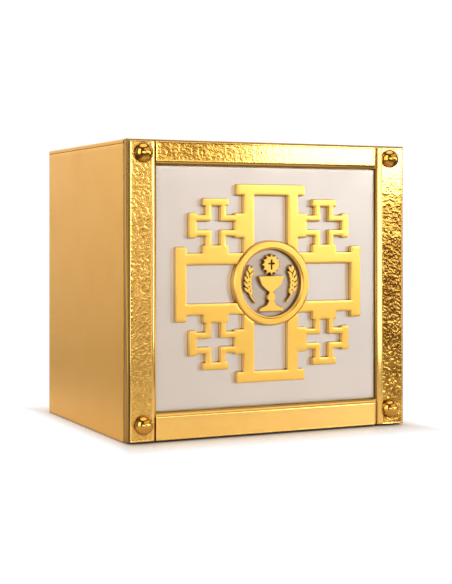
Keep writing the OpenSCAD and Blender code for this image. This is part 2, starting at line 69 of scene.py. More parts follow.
MM = 0.001
noise.seed_set(7)


# ---------------------------------------------------------------- materials

def new_material(name):
    mat = bpy.data.materials.new(name)
    mat.use_nodes = True
    mat.node_tree.nodes.clear()
    return mat, mat.node_tree


def add(tree, kind, inputs=None, **props):
    """A shader node with its inputs, by name or number, set to a value or linked to a socket."""
    node = tree.nodes.new(kind)
    for key, value in props.items():
        setattr(node, key, value)
    for key, value in (inputs or {}).items():
        if isinstance(value, bpy.types.NodeSocket):
            tree.links.new(value, node.inputs[key])
        else:
            node.inputs[key].default_value = value
    return node


def mapped(tree, scale):
    """Object coordinates stretched by scale, so that grain can run along one axis."""
    coord = add(tree, "ShaderNodeTexCoord")
    mapping = add(tree, "ShaderNodeMapping", {"Vector": coord.outputs["Object"], "Scale": scale})
    return mapping.outputs["Vector"]


def noise_tex(tree, vector, scale, detail=4.0, rough=0.55):
    inputs = {"Vector": vector, "Scale": scale, "Detail": detail, "Roughness": rough}
    return add(tree, "ShaderNodeTexNoise", inputs).outputs["Fac"]


def ramp(tree, fac, a, b, lo=0.0, hi=1.0):
    """Maps fac from lo..hi onto a..b, clamped."""
    inputs = {"Value": fac, "From Min": lo, "From Max": hi, "To Min": a, "To Max": b}
    return add(tree, "ShaderNodeMapRange", inputs).outputs["Result"]


def math_node(tree, op, a, b=0.0):
    return add(tree, "ShaderNodeMath", {0: a, 1: b}, operation=op).outputs[0]


def mix_colour(tree, fac, a, b):
    """Blends from colour a to colour b as fac goes from 0 to 1."""
    a, b = ((*c, 1.0) if isinstance(c, tuple) else c for c in (a, b))
    return add(tree, "ShaderNodeMix", {0: fac, 6: a, 7: b}, data_type="RGBA").outputs[2]


def bump(tree, height, strength, distance):
    inputs = {"Height": height, "Strength": strength, "Distance": distance}
    return add(tree, "ShaderNodeBump", inputs).outputs["Normal"]


def finish_surface(tree, inputs):
    shader = add(tree, "ShaderNodeBsdfPrincipled", inputs)
    out = add(tree, "ShaderNodeOutputMaterial")
    tree.links.new(shader.outputs[0], out.inputs[0])


# Colour and reach of the darkening in corners and joints: grime and painted shade.
GRIME_AND_SHADE = (0.06, 0.03, 0.01)
GRIME_AND_SHADE_REACH = 4 * MM


def grimed_and_shaded(tree, colour, reach=GRIME_AND_SHADE_REACH):
    """Darkens a metal in its corners and joints: partly tarnish and dirt that collect there, partly painted shade
    where those corners lie in shadow.
    """
    open_sky = add(tree, "ShaderNodeAmbientOcclusion", {"Distance": reach}, samples=6).outputs["AO"]
    return mix_colour(tree, ramp(tree, open_sky, 1.0, 0.0, 0.35, 0.80), colour, GRIME_AND_SHADE)


GRAIN_DEPTH = 0.1 * MM
PORE_DEPTH = 0.3 * MM
LACQUER_ROUGH = 0.2


def metal(name, light, dark, rough, grain=(1, 1, 1), grain_scale=900.0, grain_bump=0.05,
          smudge=0.03, tone=0.6, lacquer=0.0, reach=GRIME_AND_SHADE_REACH, wall=None):
    """A metal with slow tonal drift, smudged roughness and a fine grain that can be stretched.
    tone is how far the colour drifts from light to dark, reach how far grime and painted shade
    spread from a corner, and wall the paler colour of the smoother cut walls of a relief, partly
    a painted highlight."""
    mat, tree = new_material(name)
    plain = mapped(tree, (1, 1, 1))
    drift = noise_tex(tree, plain, 7.0, 2.0, 0.4)
    patch = noise_tex(tree, plain, 24.0, 3.0, 0.5)
    both = math_node(tree, "ADD", math_node(tree, "MULTIPLY", drift, 0.7),
                     math_node(tree, "MULTIPLY", patch, 0.3))
    grain_v = noise_tex(tree, mapped(tree, grain), grain_scale, 2.0, 0.5)
    shade = math_node(tree, "ADD", both, ramp(tree, grain_v, -0.05, 0.05, 0.3, 0.7))
    colour = mix_colour(tree, ramp(tree, shade, 0.0, tone, 0.3, 0.7), light, dark)
    if wall:
        cut = add(tree, "ShaderNodeAttribute", attribute_name="wall").outputs["Fac"]
        # the walls take a paler colour: painted highlight, besides their smoother finish
        colour = mix_colour(tree, cut, colour, wall)
        rough = math_node(tree, "MULTIPLY", rough, ramp(tree, cut, 1.0, 0.5))
    smudges = ramp(tree, patch, -smudge, smudge, 0.3, 0.7)
    fine = ramp(tree, grain_v, -0.5 * smudge, 0.5 * smudge, 0.3, 0.7)
    roughness = math_node(tree, "ADD", math_node(tree, "ADD", smudges, fine), rough)
    if reach:
        # grime and painted shade in the corners and joints
        colour = grimed_and_shaded(tree, colour, reach)
    finish_surface(tree, {"Base Color": colour, "Metallic": 1.0, "Roughness": roughness,
                          "Coat Weight": lacquer, "Coat Roughness": LACQUER_ROUGH,
                          "Normal": bump(tree, grain_v, grain_bump, GRAIN_DEPTH)})
    return mat


# The second colour is the brown patina of the dents, also used for painted shade along parts of the strips.
HIGH_SPOT, HOLLOW_AND_SHADE = (1.0, 0.62, 0.12), (0.22, 0.095, 0.016)
# The second colour here is painted shade for the walls below a strip's face.
WORN_GOLD, WALL_SHADE = (0.93, 0.56, 0.12), (0.07, 0.035, 0.012)


def hammered_metal(name):
    """Beaten gold: bright high spots, browner hollows, smooth where plain; painted shade darkens the walls below
    its face, its corners and parts of its length.
    """
    mat, tree = new_material(name)
    plain = mapped(tree, (1, 1, 1))
    beaten = add(tree, "ShaderNodeAttribute", attribute_name="beaten").outputs["Fac"]
    hollow = add(tree, "ShaderNodeAttribute", attribute_name="hollow").outputs["Fac"]
    fine = noise_tex(tree, plain, 1100.0, 3.0, 0.6)
    drift = noise_tex(tree, plain, 40.0, 4.0, 0.6)
    # dent patina plus painted shade along the strips, only where beaten
    depth_and_shade = math_node(tree, "MULTIPLY", ramp(tree, hollow, 0.0, 0.95, -0.2, 1.0), beaten)
    tint = mix_colour(tree, depth_and_shade, HIGH_SPOT, HOLLOW_AND_SHADE)
    worn = mix_colour(tree, ramp(tree, drift, 0.0, 0.4, 0.4, 0.65), tint, WORN_GOLD)
    # painted shade: the walls below the face go near black
    wall_shaded = mix_colour(tree, ramp(tree, hollow, 0.0, 1.0, 1.02, 1.5), worn, WALL_SHADE)
    colour = grimed_and_shaded(tree, wall_shaded)
    rough = math_node(tree, "ADD", 0.11,
                      math_node(tree, "MULTIPLY", beaten, ramp(tree, fine, 0.0, 0.10, 0.3, 0.7)))
    height = math_node(tree, "MULTIPLY", fine, beaten)
    finish_surface(tree, {"Base Color": colour, "Metallic": 1.0, "Roughness": rough,
                          "Coat Weight": ramp(tree, depth_and_shade, 0.9, 0.0, 0.1, 0.6),
                          "Coat Roughness": 0.10, "Coat IOR": 1.8,
                          "Normal": bump(tree, height, 0.25, PORE_DEPTH)})
    return mat


def silk(name):
    """Ivory silk: fine weave, a watered sheen and faint soiling."""
    mat, tree = new_material(name)
    plain = mapped(tree, (1, 1, 1))
    weft = noise_tex(tree, mapped(tree, (1, 1, 14)), 260.0, 3.0, 0.6)
    water = noise_tex(tree, mapped(tree, (3, 3, 1)), 26.0, 4.0, 0.7)
    soil = noise_tex(tree, plain, 14.0, 4.0, 0.6)
    clean = mix_colour(tree, ramp(tree, water, 0.0, 1.0, 0.4, 0.6), (0.86, 0.82, 0.73),
                       (0.94, 0.92, 0.86))
    colour = mix_colour(tree, ramp(tree, soil, 0.0, 0.35, 0.52, 0.75), clean, (0.74, 0.67, 0.54))
    roughness = ramp(tree, water, 0.34, 0.55, 0.35, 0.65)
    finish_surface(tree, {"Base Color": colour, "Roughness": roughness, "Sheen Weight": 0.5,
                          "Sheen Roughness": 0.4, "Specular IOR Level": 0.6,
                          "Normal": bump(tree, weft, 0.3, PORE_DEPTH)})
    return mat


def wood(name):
    """Pale softwood, its rings and pores running front to back."""
    mat, tree = new_material(name)
    rings = add(tree, "ShaderNodeTexWave",
                {"Vector": mapped(tree, (1, 0.06, 1)), "Scale": 120.0, "Distortion": 5.0,
                 "Detail": 4.0}).outputs["Fac"]
    pores = noise_tex(tree, mapped(tree, (1, 0.04, 1)), 1500.0, 3.0)
    base = mix_colour(tree, rings, (0.50, 0.34, 0.19), (0.66, 0.49, 0.31))
    colour = mix_colour(tree, ramp(tree, pores, 0.0, 0.5, 0.5, 0.75), base, (0.33, 0.21, 0.11))
    finish_surface(tree, {"Base Color": colour, "Roughness": ramp(tree, pores, 0.5, 0.7),
                          "Normal": bump(tree, pores, 0.3, PORE_DEPTH)})
    return mat


MATS = {
    "satin_gold": metal("satin_gold", (0.91, 0.54, 0.075), (0.85, 0.48, 0.05), 0.42, lacquer=0.5,
                        grain=(1, 1, 0.02), grain_scale=1400.0, grain_bump=0.02, tone=0.5),
    "angle_brass": metal("angle_brass", (0.78, 0.54, 0.22), (0.62, 0.40, 0.15), 0.40,
                         grain_bump=0.06, tone=0.9, reach=0.0),
    # The domes' gold is darker than the rest: painted shade, for the dark room their mirror finish reflects.
    "polished_gold": metal("polished_gold", (0.74, 0.43, 0.09), (0.66, 0.37, 0.07), 0.06,
                           grain_bump=0.002, smudge=0.01),
    "bright_gold": metal("bright_gold", (0.97, 0.60, 0.11), (0.94, 0.56, 0.09), 0.31,
                         lacquer=0.8, reach=1.1 * MM, grain_bump=0.01, smudge=0.02, tone=0.5,
                         wall=(0.95, 0.62, 0.18)),
    "satin_silver": metal("satin_silver", (0.66, 0.61, 0.57), (0.61, 0.555, 0.51), 0.40,
                          reach=1.6 * MM, grain=(0.03, 1, 1), grain_scale=1500.0,
                          grain_bump=0.015, tone=0.5, smudge=0.02),
    # The disc's silver is the panel silver darkened: painted shade, for the disc lying in shadow inside the ring.
    "dark_silver": metal("dark_silver", (0.50, 0.43, 0.37), (0.42, 0.35, 0.29), 0.36,
                         grain_bump=0.03),
    "screw_steel": metal("screw_steel", (0.66, 0.65, 0.63), (0.50, 0.49, 0.47), 0.24,
                         grain_bump=0.03, reach=0.0),
    "lock_steel": metal("lock_steel", (0.64, 0.64, 0.64), (0.48, 0.48, 0.49), 0.28,
                        grain=(1, 0.05, 1), grain_bump=0.03, reach=0.0),
    "hammered_gold": hammered_metal("hammered_gold"),
    # The door plate's gold is satin gold darkened: painted shade on its edges and the margins beside the strips.
    "plate_gold": metal("plate_gold", (0.58, 0.34, 0.065), (0.50, 0.28, 0.045), 0.40, lacquer=0.5,
                        grain=(1, 1, 0.02), grain_scale=1400.0, grain_bump=0.02, tone=0.5),
    "batten_wood": wood("batten_wood"),
    "silk": silk("silk"),
}


# ---------------------------------------------------------------- mesh tools

SMOOTH = 40.0  # faces that meet at less than this many degrees shade as one surface


def make(name, verts, faces, node, smooth=SMOOTH):
    """A new piece that stands for a CAD node and rides on its body."""
    mesh = bpy.data.meshes.new(name)
    mesh.from_pydata([tuple(v) for v in verts], [], [tuple(f) for f in faces])
    mesh.validate()
    mesh.polygons.foreach_set("use_smooth", [True] * len(mesh.polygons))
    mesh.set_sharp_from_angle(angle=math.radians(smooth))
    mesh.update()
    obj = bpy.data.objects.new(name, mesh)
    bpy.context.scene.collection.objects.link(obj)
    mesh.materials.append(MATS[SLOT[node]])
    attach(obj, BODY[node])
    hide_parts(node)
    return obj


class Builder:
    """Collects the vertices and faces of one piece; walls lists the points of its cut walls."""

    def __init__(self):
        self.verts, self.faces, self.walls = [], [], []

    def vert(self, p):
        self.verts.append(tuple(p))
        return len(self.verts) - 1

    def ring(self, points):
        return [self.vert(p) for p in points]

    def bridge(self, a, b, closed=True):
        n = len(a)
        for i in range(n if closed else n - 1):
            j = (i + 1) % n
            self.faces.append((a[i], a[j], b[j], b[i]))

    def compact(self):
        """The vertices in use, the faces that index them, and their old numbers."""
        used = sorted({k for f in self.faces for k in f})
        index = {k: n for n, k in enumerate(used)}
        return [self.verts[k] for k in used], [[index[k] for k in f] for f in self.faces], used


def axes_for(direction):
    """Two unit vectors at right angles to direction."""
    w = Vector(direction).normalized()
    u = Vector((0, 0, 1)) if abs(w.z) < 0.9 else Vector((1, 0, 0))
    u = (u - w * u.dot(w)).normalized()
    return u, w.cross(u), w


def lathe(builder, centre, direction, profile, segs):
    """Turns (radius, height) pairs round an axis. A profile closes where it meets the axis, or
    where it comes back to its first pair."""
    u, v, w = axes_for(direction)
    c = Vector(centre)
    rings = []
    for k, (radius, height) in enumerate(profile):
        if k and (radius, height) == profile[0]:
            rings.append(rings[0])
        elif radius < 1e-9:
            rings.append([builder.vert(c + w * height)])
        else:
            rings.append(builder.ring(
                c + w * height + (u * math.cos(t) + v * math.sin(t)) * radius
                for t in (2 * math.pi * i / segs for i in range(segs))))
    for a, b in zip(rings, rings[1:]):
        if len(a) == 1:
            builder.faces += [(a[0], b[(i + 1) % segs], b[i]) for i in range(segs)]
        elif len(b) == 1:
            builder.faces += [(a[i], a[(i + 1) % segs], b[0]) for i in range(segs)]
        else:
            builder.bridge(a, b)


def merged(node):
    """Vertices and faces of a CAD node, with coincident vertices joined."""
    mesh = NODES[node].data
    co = np.array([v.co for v in mesh.vertices], float)
    keys, index, verts = {}, [], []
    for p in np.round(co, 6):
        k = tuple(p)
        if k not in keys:
            keys[k] = len(verts)
            verts.append(p)
        index.append(keys[k])
    faces = []
    for poly in mesh.polygons:
        f = [index[i] for i in poly.vertices]
        if len(set(f)) == len(f):
            faces.append(f)
    return np.array(verts), faces


def front_loops(node):
    """Outlines, as (x, z) loops with the material on their left, of the face of a node that is
    nearest the front."""
    verts, faces = merged(node)
    y0 = verts[:, 1].min()
    edges = {}
    for f in faces:
        if all(abs(verts[i][1] - y0) < 2e-6 for i in f):
            for a, b in zip(f, f[1:] + f[:1]):
                edges[(a, b)] = edges.get((a, b), 0) + 1
    nxt = {a: b for (a, b) in edges if (b, a) not in edges}
    loops = []
    while nxt:
        start = next(iter(nxt))
        loop, at = [], start
        while at in nxt:
            loop.append(at)
            at = nxt.pop(at)
        loops.append([(verts[i][0], verts[i][2]) for i in loop])
    loops = [clean_loop(loop) for loop in loops if len(loop) > 2]
    if sum(area(loop) for loop in loops) < 0:
        loops = [loop[::-1] for loop in loops]
    return loops


def turn(a, b, c):
    """Signed turning angle at b."""
    d0 = (b[0] - a[0], b[1] - a[1])
    d1 = (c[0] - b[0], c[1] - b[1])
    return math.atan2(d0[0] * d1[1] - d0[1] * d1[0], d0[0] * d1[0] + d0[1] * d1[1])


def clean_loop(loop):
    """Drops points that lie on a straight run."""
    n = len(loop)
    return [loop[i] for i in range(n)
            if abs(turn(loop[i - 1], loop[i], loop[(i + 1) % n])) > 1e-3]


def area(loop):
    return 0.5 * sum(a[0] * b[1] - b[0] * a[1] for a, b in zip(loop, loop[1:] + loop[:1]))


def round_loop(loop, radius, inner, steps=4):
    """Rounds the sharp corners of a loop; inner is the radius where the outline turns in."""
    out = []
    n = len(loop)
    for i in range(n):
        a, b, c = loop[i - 1], loop[i], loop[(i + 1) % n]
        angle = turn(a, b, c)
        if abs(angle) < math.radians(25):
            out.append(b)
            continue
        r = radius if angle > 0 else inner
        va, vc = Vector(a) - Vector(b), Vector(c) - Vector(b)
        cut = min(r * math.tan(abs(angle) / 2), 0.45 * va.length, 0.45 * vc.length)
        r = cut / math.tan(abs(angle) / 2)
        p, q = Vector(b) + va.normalized() * cut, Vector(b) + vc.normalized() * cut
        side = 1 if angle > 0 else -1
        d = -va.normalized()
        centre = p + Vector((-d.y, d.x)) * r * side
        start = math.atan2(p.y - centre.y, p.x - centre.x)
        for k in range(steps + 1):
            t = start + angle * k / steps
            out.append((centre.x + r * math.cos(t), centre.y + r * math.sin(t)))
    return out


def normals(loop):
    """Corner directions that point into the material, to the left of the loop's travel."""
    out = []
    n = len(loop)
    for i in range(n):
        a, b, c = Vector(loop[i - 1]), Vector(loop[i]), Vector(loop[(i + 1) % n])
        d0, d1 = (b - a).normalized(), (c - b).normalized()
        n0, n1 = Vector((-d0.y, d0.x)), Vector((-d1.y, d1.x))
        m = n0 + n1
        out.append(m / max(m.dot(n0), 0.35) if m.length > 1e-9 else n0)
    return out


def room_inside(loops, reach):
    """How much of an inset of reach each corner can take before it meets the web's other side."""
    starts = np.array([p for loop in loops for p in loop])
    ends = np.array([p for loop in loops for p in loop[1:] + loop[:1]])
    run = ends - starts
    owner = np.array([i for i, loop in enumerate(loops) for _ in loop])
    shares = []
    for own, loop in enumerate(loops):
        others = starts[owner != own]
        near = []
        for p, d in zip(starts[owner == own], run[owner == own]):
            along = np.clip(((others - p) @ d) / (d @ d), 0, 1)
            near.append(np.hypot(*(others - p - along[:, None] * d).T).min(initial=1.0))
        row = []
        for i, (p, m) in enumerate(zip(loop, normals(loop))):
            across = np.array((m.x, m.y))
            to = starts - np.array(p)
            cross = across[0] * run[:, 1] - across[1] * run[:, 0]
            cross[np.abs(cross) < 1e-12] = 1e-12
            t = (to[:, 0] * run[:, 1] - to[:, 1] * run[:, 0]) / cross
            u = (to[:, 0] * across[1] - to[:, 1] * across[0]) / cross
            hits = t[(t > 1e-5) & (u > -1e-3) & (u < 1 + 1e-3)]
            width = min(hits.min(initial=1.0), near[i], near[i - 1])
            row.append(min(1.0, 0.42 * width / reach))
        shares.append(tightened(loop, row, reach))
    return shares


def tightened(loop, row, reach):
    """Lowers the shares round a short run until none of its edges would turn over."""
    ways = normals(loop)
    n = len(loop)
    row = [min(row[i - 1], row[i], row[(i + 1) % n]) for i in range(n)]
    for _ in range(24):
        moved = [Vector(p) + m * reach * k for p, m, k in zip(loop, ways, row)]
        runs = [Vector(loop[(i + 1) % n]) - Vector(loop[i]) for i in range(n)]
        turned = [i for i in range(n) if (moved[(i + 1) % n] - moved[i]).dot(runs[i])
                  < 0.06 * runs[i].length_squared]
        if not turned:
            break
        for i in turned:
            for k in (i, (i + 1) % n):
                row[k] *= 0.93
    return row


def relief(builder, loops, back, front, edge, depth, pillow=0.0, sag=0.0):
    """A raised shape with rounded front edges: loops in (x, z), raised from y = back to y = front.
    edge is the width of the rounding on the face and depth how far it runs down the wall; a
    pillow is a wider band inside it where the face falls away by sag."""
    profile = [(0.0, back)]
    for t in np.linspace(0, math.pi / 2, 6):
        profile.append((edge * (1 - math.cos(t)), front + sag + depth * (1 - math.sin(t))))
    reach = 1.06 * edge
    profile.append((reach, front + sag))
    rings = []
    for loop, share in zip(loops, room_inside(loops, reach)):
        ways = normals(loop)
        made = [builder.ring((p[0] + m.x * d * k, y, p[1] + m.y * d * k)
                             for p, m, k in zip(loop, ways, share)) for d, y in profile]
        for a, b in zip(made, made[1:]):
            builder.bridge(a, b)
        builder.walls += made[0] + made[1]
        rings.append(made)
    fill(builder, [made[-1] for made in rings], False, pillow, sag)
    fill(builder, [made[0] for made in rings], True)


def mark_walls(obj, builder):
    """Tells the material which points belong to the cut walls of a relief."""
    marks = np.zeros(len(builder.verts))
    marks[builder.walls] = 1.0
    obj.data.attributes.new("wall", "FLOAT", "POINT").data.foreach_set("value", marks)


def fill(builder, rings, flip, pillow=0.0, sag=0.0):
    """Closes a face between its outlines; with a pillow it is netted with points and swells."""
    ids = [k for ring in rings for k in ring]
    flat = np.array([(builder.verts[k][0], builder.verts[k][2]) for k in ids])
    edges, start = [], 0
    for ring in rings:
        n = len(ring)
        edges += [(start + k, start + (k + 1) % n) for k in range(n)]
        start += n
    a, b = flat[[e[0] for e in edges]], flat[[e[1] for e in edges]]
    if pillow:
        pitch = 0.5 * pillow
        xs, zs = (np.arange(flat[:, k].min(), flat[:, k].max(), pitch) for k in (0, 1))
        net = np.array([(x + 0.5 * pitch * (j % 2), z) for j, z in enumerate(zs) for x in xs])
        net = net[inside(net, a, b)]
        gap = nearest(net, a, b)
        net, gap = net[gap > 0.35 * pitch], gap[gap > 0.35 * pitch]
        y = builder.verts[ids[0]][1]
        rise = sag * (1 - (1 - np.minimum(1.0, gap / pillow)) ** 2)
        ids += [builder.vert((p[0], y - h, p[1])) for p, h in zip(net, rise)]
        flat = np.vstack([flat, net])
    pts, _, tris, source, _, _ = delaunay_2d_cdt([Vector(p) for p in flat], edges, [], 0, 1e-7)
    at = np.array([tuple(p) for p in pts])
    tris = np.array(tris)
    tris = tris[inside(at[tris].mean(axis=1), a, b)]
    for tri in tris:
        p, q, r = at[tri]
        up = (q - p)[0] * (r - p)[1] - (q - p)[1] * (r - p)[0] > 0
        f = [ids[source[k][0]] for k in tri]
        builder.faces.append(f[::-1] if up == flip else f)


def inside(points, a, b):
    """Which points lie between the outlines whose edges run from a to b."""
    hit = np.zeros(len(points), bool)
    for p, q in zip(a, b):
        if p[1] == q[1]:
            continue
        spans = (p[1] > points[:, 1]) != (q[1] > points[:, 1])
        hit ^= spans & (points[:, 0] < (q[0] - p[0]) * (points[:, 1] - p[1]) / (q[1] - p[1]) + p[0])
    return hit


def nearest(points, a, b):
    """Distance from each point to the closest edge."""
    best = np.full(len(points), 1.0)
    for p, q in zip(a, b):
        d = q - p
        t = np.clip(((points - p) @ d) / (d @ d), 0, 1)
        best = np.minimum(best, np.hypot(*(points - p - t[:, None] * d).T))
    return best


def smoothstep(a, b, t):
    """0 below a, 1 above b, and an even curve between."""
    k = max(0.0, min(1.0, (t - a) / (b - a)))
    return k * k * (3 - 2 * k)


def fbm(x, y, z, octaves):
    return noise.fractal(Vector((x, y, z)), 0.9, 2.0, octaves)


def spread(lo, hi, step, edge):
    """Grid lines from lo to hi, with extra lines inside the rounded edges."""
    near = [edge * (1 - math.cos(t)) for t in np.linspace(0, math.pi / 2, 5)]
    count = max(2, int(round((hi - lo - 2 * edge) / step)))
    mid = list(np.linspace(lo + edge, hi - edge, count + 1))
    return [lo + d for d in near[:-1]] + mid + [hi - d for d in reversed(near[:-1])]


def slab(node, axis, front, step, edge, shape, hole=None, name=None):
    """A sheet or pad filling the box of a CAD node. axis is its thin axis and front the side (1 or
    -1) that shows. step is the mesh pitch and edge the radius of its rims. shape(u, v) is how far
    the showing face lies below the box, in metres. hole is (u, v, radius)."""
    lo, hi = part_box(node)
    ua, va = [a for a in range(3) if a != axis]
    us = spread(lo[ua], hi[ua], step, edge)
    vs = spread(lo[va], hi[va], step, edge)
    top, low = (hi[axis], lo[axis]) if front > 0 else (lo[axis], hi[axis])
    b = Builder()

    def drop(u, v):
        d = min(u - lo[ua], hi[ua] - u, v - lo[va], hi[va] - v)
        if d >= edge:
            return 0.0
        return edge - math.sqrt(max(0.0, edge * edge - (edge - d) ** 2))

    def point(u, v, w):
        p = [0.0, 0.0, 0.0]
        p[ua], p[va], p[axis] = u, v, w
        return p

    nu, nv = len(us), len(vs)
    place = {}
    for i, u in enumerate(us):
        for j, v in enumerate(vs):
            place[i, j] = (u, v)
    keep = set()
    for i in range(nu - 1):
        for j in range(nv - 1):
            if hole:
                cu, cv = (us[i] + us[i + 1]) / 2 - hole[0], (vs[j] + vs[j + 1]) / 2 - hole[1]
                if math.hypot(cu, cv) < hole[2]:
                    continue
            keep.add((i, j))
    if hole:
        for i in range(nu):
            for j in range(nv):
                cells = [(i - a, j - c) in keep for a in (0, 1) for c in (0, 1)
                         if 0 <= i - a < nu - 1 and 0 <= j - c < nv - 1]
                if any(cells) and not all(cells):
                    u, v = us[i] - hole[0], vs[j] - hole[1]
                    k = hole[2] / math.hypot(u, v)
                    place[i, j] = (hole[0] + u * k, hole[1] + v * k)
    fronts, backs = {}, {}
    for key, (u, v) in place.items():
        d = drop(u, v)
        fronts[key] = b.vert(point(u, v, top - front * (d + shape(u, v))))
        backs[key] = b.vert(point(u, v, low + front * d))
    sign = front * (1 if (ua, va, axis) in ((0, 1, 2), (1, 2, 0), (2, 0, 1)) else -1)
    edges = []
    for i, j in keep:
        quad = [(i, j), (i + 1, j), (i + 1, j + 1), (i, j + 1)]
        if sign < 0:
            quad.reverse()
        b.faces.append([fronts[k] for k in quad])
        b.faces.append([backs[k] for k in reversed(quad)])
        edges += zip(quad, quad[1:] + quad[:1])
    paired = set(edges)
    for a, c in edges:
        if (c, a) not in paired:
            b.faces.append((fronts[c], fronts[a], backs[a], backs[c]))
    verts, faces, _ = b.compact()
    return make(name or node + "_sheet", verts, faces, node)


# ---------------------------------------------------------------- casing

def sheet_wave(seed, amount):
    """Faint unevenness of a rolled sheet, so its reflections drift."""
    def shape(u, v):
        return amount * (0.5 + 0.5 * fbm(u * 9 + seed, v * 9, seed * 1.7, 3))
    return shape


lock = next(j for j in frame["joints"] if j["name"] == "lock_turn")["pos_m"]
PLUG_HOLE = 8.05 * MM
SHEET_RIM = 0.5 * MM
SHEET_STEP, HOLED_STEP = 4 * MM, 2.4 * MM
SHEET_WAVE, PANEL_WAVE = 0.12 * MM, 0.05 * MM
for node, axis, front, seed in (("top_panel", 2, 1, 1.0), ("back_panel", 1, 1, 2.0),
                                ("left_side_panel", 0, -1, 3.0), ("right_side_panel", 0, 1, 4.0)):
    hole = (lock[1], lock[2], PLUG_HOLE) if node == "right_side_panel" else None
    step = HOLED_STEP if hole else SHEET_STEP
    slab(node, axis, front, step, SHEET_RIM, sheet_wave(seed, SHEET_WAVE), hole=hole)

# ---------------------------------------------------------------- door strips

WANDER, RAGGED = 2.8 * MM, 0.7 * MM


def hammer(x, y, z):
    """Depth of the beaten relief, 0 to 1: irregular dents between thin wandering ridges."""
    p = Vector((x, y, z))
    q = p + noise.noise_vector(p * 130) * WANDER + noise.noise_vector(p * 400) * RAGGED
    coarse = 1 - min(1.0, abs(noise.noise(q * 165)) * 3.0)
    fine = 1 - min(1.0, abs(noise.noise(q * 310 + Vector((7, 3, 1)))) * 2.6)
    grit = 0.5 + 0.5 * noise.fractal(q * 600, 0.8, 2.1, 2)
    ridge = 0.45 * coarse ** 2 + 0.35 * fine ** 2 + 0.20 * grit
    return max(0.0, min(1.0, 1 - 1.15 * ridge))


DEEPEST = 0.45 * MM        # a dent this deep is as dark as dents get
WALL_SHADE_TONE = 1.8           # painted shade of the walls below the face, darker than any dent
STRIP_STEP = 0.72 * MM
LIP = 0.7 * MM             # rounding of the outer edge
END_LIP = 0.5 * MM         # rounding of the two ends
PLAIN_BAND = 0.6 * MM      # the ends stay plain this far; the beating fades in over as much
BEATEN_DROP = 0.10 * MM    # the beaten face lies this far below the bare one
BEVEL_FALL = 0.34          # fall of the inner bevel for its width
BEVEL_BOW = 1.35           # 1 is a straight bevel, more bows outward
TOE, TOE_FALL = 0.9, 0.35 * MM  # past this share of its width the bevel falls away faster
SKIRT = 0.25 * MM          # the wall turns to its painted dark shade over this much below the face


def strip(node, along, edge_at, bevel, relief_depth, patina_and_shade, ease=lambda t: 1.0, gap=0.0):
    """A beaten strip: along is the long axis (0 or 2), edge_at which side (1 or -1) faces
    outward, bevel the width of the slope on its inner side and gap how much shorter it is made
    at its far end. Both ease, the share of relief_depth that is beaten in, and the added
    darkness, partly patina and partly painted shade, follow the strip from 0 to 1."""
    lo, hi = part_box(node)
    hi[along] -= gap
    across = 2 - along
    face, base = lo[1], hi[1]
    w = hi[across] - lo[across]
    out_lines = [LIP * (1 - math.cos(t)) for t in np.linspace(0, math.pi / 2, 6)]
    flat = list(np.linspace(LIP, w - bevel, max(3, int((w - bevel - LIP) / STRIP_STEP))))
    inner = [w - bevel + bevel * t for t in (0.12, 0.3, 0.55, 0.8, 0.93, 1.0)]
    lines = out_lines[:-1] + flat + inner
    runs = spread(lo[along], hi[along], STRIP_STEP, END_LIP)
    b = Builder()
    rows, masks, lows = [], [], []
    for s in lines:
        row = []
        c = lo[across] + s if edge_at < 0 else hi[across] - s
        for r in runs:
            end = min(r - lo[along], hi[along] - r)
            mask = low = 0.0
            if s < LIP:
                depth = 0.8 * LIP * (1 - math.sqrt(max(0.0, 1 - (1 - s / LIP) ** 2)))
            elif s <= w - bevel:
                inner_band = min(s - LIP, w - bevel - s, end - PLAIN_BAND)
                strength = max(0.0, min(1.0, inner_band / PLAIN_BAND))
                p = [0.0, 0.0, 0.0]
                p[across], p[along] = c, r
                part = (r - lo[along]) / (hi[along] - lo[along])
                dent = hammer(*p) * relief_depth * ease(part)
                depth = (BEATEN_DROP + dent) * strength
                # the dent's patina plus the darkness added along the strip, which is partly painted shade
                mask, low = strength, min(1.0, patina_and_shade(part) + dent / DEEPEST)
            else:
                t = (s - (w - bevel)) / bevel
                depth = BEVEL_FALL * bevel * t ** BEVEL_BOW
                if t > TOE:
                    depth += TOE_FALL * (t - TOE) / (1 - TOE)
            if end < END_LIP:
                depth += END_LIP - math.sqrt(max(0.0, END_LIP ** 2 - (END_LIP - end) ** 2))
            p = [0.0, face + depth, 0.0]
            p[across], p[along] = c, r
            row.append(b.vert(p))
            masks.append(mask)
            lows.append(low)
        rows.append(row)
    flip = (edge_at < 0) == (along == 2)
    m, n = len(lines) - 1, len(runs) - 1

    def quad(a, c, d, e):
        b.faces.append((a, e, d, c) if flip else (a, c, d, e))

    for i in range(m):
        for j in range(n):
            quad(rows[i][j], rows[i][j + 1], rows[i + 1][j + 1], rows[i + 1][j])
    rim = ([(0, j) for j in range(n)] + [(i, n) for i in range(m)]
           + [(m, j) for j in range(n, 0, -1)] + [(i, 0) for i in range(m, 0, -1)])
    top = [rows[i][j] for i, j in rim]
    skirt = [b.vert((b.verts[k][0], b.verts[k][1] + SKIRT, b.verts[k][2])) for k in top]
    foot = [b.vert((b.verts[k][0], base, b.verts[k][2])) for k in top]
    for upper, lower in ((top, skirt), (skirt, foot)):
        for k in range(len(rim)):
            nxt = (k + 1) % len(rim)
            quad(upper[nxt], upper[k], lower[k], lower[nxt])
    b.faces.append(foot if flip else foot[::-1])
    verts, faces, used = b.compact()
    obj = make(node + "_beaten", verts, faces, node, smooth=55.0)
    for key, values in (("beaten", masks), ("hollow", lows)):
        # the walls below the face are given the painted dark shade
        values = values + [WALL_SHADE_TONE] * (len(b.verts) - len(values))
        data = obj.data.attributes.new(key, "FLOAT", "POINT").data
        data.foreach_set("value", [values[k] for k in used])


